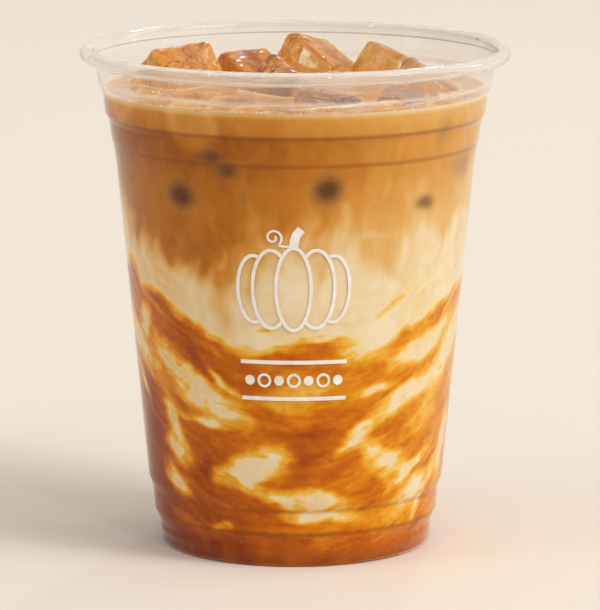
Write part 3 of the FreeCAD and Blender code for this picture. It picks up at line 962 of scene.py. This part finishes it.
def make_flecks(dice, outline, lines, count=260, loose=180):
    """Flecks of spice on the wall, and loose ones on the surface between the ice."""
    heights = drawn(dice, count, 6, 98, 0.7)
    radii = drawn(dice, count, 0.07, 0.14, 3)
    spots = on_wall(dice, outline, heights, radii * 0.2)
    far = 42.5 * MM * np.sqrt(dice.random(loose))
    tops = round_cup(dice.uniform(0, 2 * math.pi, loose), far, LEVEL + 0.02 * MM)
    near, inside = shores(tops[:, :2], outline[-1][0], lines)
    tops = tops[~inside & (near > 0.4 * MM)]
    sizes = drawn(dice, len(tops), 0.10, 0.22, 3)
    everywhere = np.vstack([spots, tops])
    scattered("spice_flecks", everywhere, np.append(radii, sizes), SPICE, 3, (1, 0.7, 0.45), 0.16)


def make_froth(dice, outline, lines, count=760):
    """Froth where the drink meets the wall and the ice, half of it along each."""
    radius = outline[-1][0]
    sizes = drawn(dice, count, 0.10, 0.34, 4)
    far = radius - INTO_WALL - sizes - 1.6 * MM * dice.random(count) ** 3
    by_wall = round_cup(2 * math.pi * dice.random(count), far, 0)[:, :2]
    banks = np.concatenate([np.asarray(line) for line in lines])
    by_ice = banks[dice.integers(len(banks), size=count)] + dice.standard_normal((count, 2)) * 0.9 * MM
    spots = np.where((np.arange(count) % 2 == 0)[:, None], by_wall, by_ice)
    near, inside = shores(spots, radius, lines)
    clear = ~inside & (near > sizes * 0.6)
    rises = LEVEL + WET_RISE * np.exp(-near / WET_REACH) + sizes * 0.1
    scattered("froth", np.column_stack([spots, rises])[clear], sizes[clear], FROTH, 4)


BUBBLE = make_fine_look("air_bubble", (240, 186, 112), (252, 222, 168), (0.25, 0.325))
SPICE = make_fine_look("spice_fleck", (96, 48, 16), (150, 84, 30), (0.7, 0.91))
FROTH = make_fine_look("froth", (232, 188, 132), (250, 226, 186), (0.12, 0.156))
DICE = np.random.default_rng(77)
make_bubbles(DICE, OUTLINE)
make_flecks(DICE, OUTLINE, MEETING)
make_froth(DICE, OUTLINE, MEETING)


# ---- the print
# A plain autumn print in white ink: a ribbed pumpkin over a band of bars, rings and dots. Its
# lengths are millimetres across and up the wall.
PRINT_TURN = -0.5  # degrees
PRINT_RADIUS = 38.5
PUMPKIN_HEIGHT = 65.0
LOBES = [(0.0, 3.9, 9.4), (5.0, 4.2, 8.9), (8.9, 3.7, 7.6)]  # aside, half width, half height
STEM = [(0.0, 0.0), (0.1, 1.5), (0.6, 3.0), (1.7, 4.3)]
STROKE = 0.8
STEM_STROKE = 2.0
TENDRIL_STROKE = 0.5
BAND_HEIGHT = 44.0
BAND_WIDTH = 25.0
BAR_RISE = 4.2
BAR_STROKE = 0.9
RING = (1.35, 0.6)  # radius, stroke
DOT = (0.6, 1.1)
INK_PROUD = 0.035 * MM  # how far the ink stands out of the wall
INK_DEEP = 0.02 * MM  # how far it reaches into it


def ellipse(middle, half_width, half_height, count):
    """Points round an ellipse in the print's plane."""
    turns = all_round(count)
    across = middle[0] + half_width * np.sin(turns)
    return np.column_stack([across, middle[1] + half_height * np.cos(turns)])


def closed(line):
    """The line with its first point again at its end."""
    return np.vstack([line, line[:1]])


def lobe_arcs():
    """Each lobe's outline where no lobe nearer the middle covers it."""
    arcs = [closed(ellipse((0.0, 0.0), LOBES[0][1], LOBES[0][2], 120))]
    for place in (1, 2):
        aside, half_width, half_height = LOBES[place]
        inner_aside, inner_width, inner_height = LOBES[place - 1]
        for side in (-1.0, 1.0):
            line = ellipse((aside * side, 0.0), half_width, half_height, 120)
            across = (line[:, 0] - inner_aside * side) / (inner_width + STROKE * 0.2)
            shown = np.hypot(across, line[:, 1] / (inner_height + STROKE * 0.2)) > 1
            start = next(at for at in range(len(line)) if shown[at] and not shown[at - 1])
            order = (start + np.arange(len(line))) % len(line)
            arcs.append(line[order[shown[order]]])
    return arcs


def pumpkin_strips():
    """The pumpkin's lobes, stem and tendril: each a line and its stroke."""
    top = (0, PUMPKIN_HEIGHT + LOBES[0][2])
    strips = [(arc + (0, PUMPKIN_HEIGHT), STROKE) for arc in lobe_arcs()]
    strips.append((np.array(STEM) + top, STEM_STROKE))
    winding = np.radians(np.linspace(-60, 400, 90))
    size = np.linspace(2.0, 0.45, 90)
    curl = np.column_stack([-4.4 + size * np.cos(winding), 2.4 + size * np.sin(winding)])
    tendril = np.vstack([(-0.4, 0.5), (-1.8, 0.35), curl])
    return strips + [(tendril + top, TENDRIL_STROKE)]


def band_strips():
    """The band's two bars, and the rings and dots between them."""
    half = BAND_WIDTH / 2
    strips = []
    for rise in (BAR_RISE, -BAR_RISE):
        bar = np.linspace(-half, half, 40)
        strips.append((np.column_stack([bar, np.full(40, BAND_HEIGHT + rise)]), BAR_STROKE))
    for place in range(-3, 4):
        size, stroke = RING if place % 2 == 0 else DOT
        strips.append((closed(ellipse((place * half / 3.6, BAND_HEIGHT), size, size, 36)), stroke))
    return strips


def inked(tree, spot, rise):
    """Where a point of the print lies on the cup's wall, and rise out of it."""
    turn = math.radians(PRINT_TURN) + spot[0] / PRINT_RADIUS
    return wall_at(tree, turn, spot[1] * MM) + outward(turn) * rise


def make_print():
    """The print as thin strips of ink that lie on the cup's wall."""
    tree = tree_of(("cup",))
    points = []
    faces = []
    for line, width in pumpkin_strips() + band_strips():
        along = np.gradient(line, axis=0)
        along /= np.hypot(along[:, 0], along[:, 1])[:, None]
        aside = np.column_stack([-along[:, 1], along[:, 0]]) * width / 2
        first = len(points)
        for left, right in zip(line + aside, line - aside):
            for rise in (INK_PROUD, -INK_DEEP):
                points += [inked(tree, left, rise), inked(tree, right, rise)]
        for here in range(first, len(points) - 4, 4):
            faces += [
                (here + 1, here, here + 4, here + 5),
                (here + 2, here + 3, here + 7, here + 6),
                (here, here + 2, here + 6, here + 4),
                (here + 3, here + 1, here + 5, here + 7),
            ]
    piece = new_piece("white_print", points, faces, INK, smooth=False)


INK_LOOK = {"spread": 0.2, "tone": (420.0, 4.0), "relief": (2200.0, 3.0, 0.2)}
INK = make_fine_look("white_ink", (234, 225, 217), (248, 242, 236), (0.38, 0.5), **INK_LOOK)
make_print()

# ---- the studio
WORLD_LIGHT = 0.575
KEY_LIGHT = 1.47
KEY_TURN = 62.0  # degrees to the right of the front
KEY_RISE = 42.0  # degrees
FLOOR_RADIUS = 3.2
PANELS = [
    ("panel_right", (1.1, 0.5, 0.75), 1.4, 0.25, 0.9),
    ("panel_left", (-1.2, -0.35, 0.8), 1.0, 0.25, 0.9),
    ("glint_right", (0.85, -0.55, 0.95), 1.1, 0.03, 0.14),
    ("glint_left", (-0.75, -0.45, 1.05), 0.6, 0.025, 0.12),
    ("glint_back", (0.25, 0.95, 0.85), 0.9, 0.03, 0.15),
    ("glint_front", (0.30, -0.80, 0.85), 0.7, 0.025, 0.13),
]  # name, place, power, width, height


def make_floor():
    """A round pale floor just under the cup."""
    paint = Paint("studio_floor")
    speck = paint.ramp(paint.grain(900.0, 2.0), [(0.3, 236, 226, 213), (0.7, 238, 228, 215)])
    look = paint.solid({"Base Color": speck, "Roughness": 0.8, "Specular IOR Level": 0.1})
    turns = [math.radians(step) for step in range(0, 360, 5)]
    ring = [(FLOOR_RADIUS * math.cos(turn), FLOOR_RADIUS * math.sin(turn), 0.0) for turn in turns]
    floor = placed("floor", bpy.data.meshes.new("floor"))
    floor.data.from_pydata(ring, [], [tuple(range(len(ring)))])
    floor.data.materials.append(look)
    floor.location.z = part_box("cup")[0].z - 0.05 * MM


def make_world():
    """Even light from all round, and a pale backdrop for the camera, clear things and gloss."""
    sky = Paint("studio", bpy.data.worlds, "OutputWorld")
    even = sky.add("Background", {"Color": plain(253, 251, 248), "Strength": WORLD_LIGHT})
    seen = sky.add("Background", {"Color": plain(242, 230, 215), "Strength": 1.0})
    path = sky.add("LightPath").outputs
    clear = sky.math("MAXIMUM", path["Is Camera Ray"], path["Is Transmission Ray"])
    shown = sky.math("MAXIMUM", clear, path["Is Glossy Ray"])
    mix = sky.add("MixShader", {0: shown, 1: even.outputs[0], 2: seen.outputs[0]})
    bpy.context.scene.world = sky.show(mix.outputs[0])


def add_lamp(name, kind, power, place, target, **settings):
    """A lamp at place that shines towards target."""
    light = bpy.data.lights.new(name, kind)
    light.energy = power
    for key, value in settings.items():
        setattr(light, key, value)
    lamp = placed(name, light)
    lamp.location = Vector(place)
    lamp.rotation_euler = (Vector(target) - Vector(place)).to_track_quat("-Z", "Y").to_euler()


def make_lamps():
    """A soft sun for the key, two pale panels, and four small lamps for the glints on the ice."""
    turn = math.radians(KEY_TURN)
    rise = math.radians(KEY_RISE)
    place = (math.cos(rise) * math.sin(turn), -math.cos(rise) * math.cos(turn), math.sin(rise))
    softness = math.radians(30)
    add_lamp("key", "SUN", KEY_LIGHT, place, (0, 0, 0), angle=softness, color=(1.0, 0.988, 0.968))
    target = (0, 0, CUP_HEIGHT / 2)
    for name, place, power, width, tall in PANELS:
        add_lamp(name, "AREA", power, place, target, shape="RECTANGLE", size=width, size_y=tall)


make_floor()
make_world()
make_lamps()

# ---- the camera
FOCAL_LENGTH = 287.6
SENSOR_WIDTH = 36.0
CAMERA_PLACE = (1.06 * MM, -1.100, 0.256)
CAMERA_DIP = 10.382  # degrees below level

lens = bpy.data.cameras.new("camera")
lens.sensor_width = SENSOR_WIDTH
lens.lens = FOCAL_LENGTH
lens.clip_start = 0.05
lens.clip_end = 20.0
camera = placed("camera", lens)
camera.location = CAMERA_PLACE
camera.rotation_euler = (math.radians(90 - CAMERA_DIP), 0, 0)
bpy.context.scene.camera = camera

view = bpy.context.scene.view_settings
view.view_transform = "Standard"
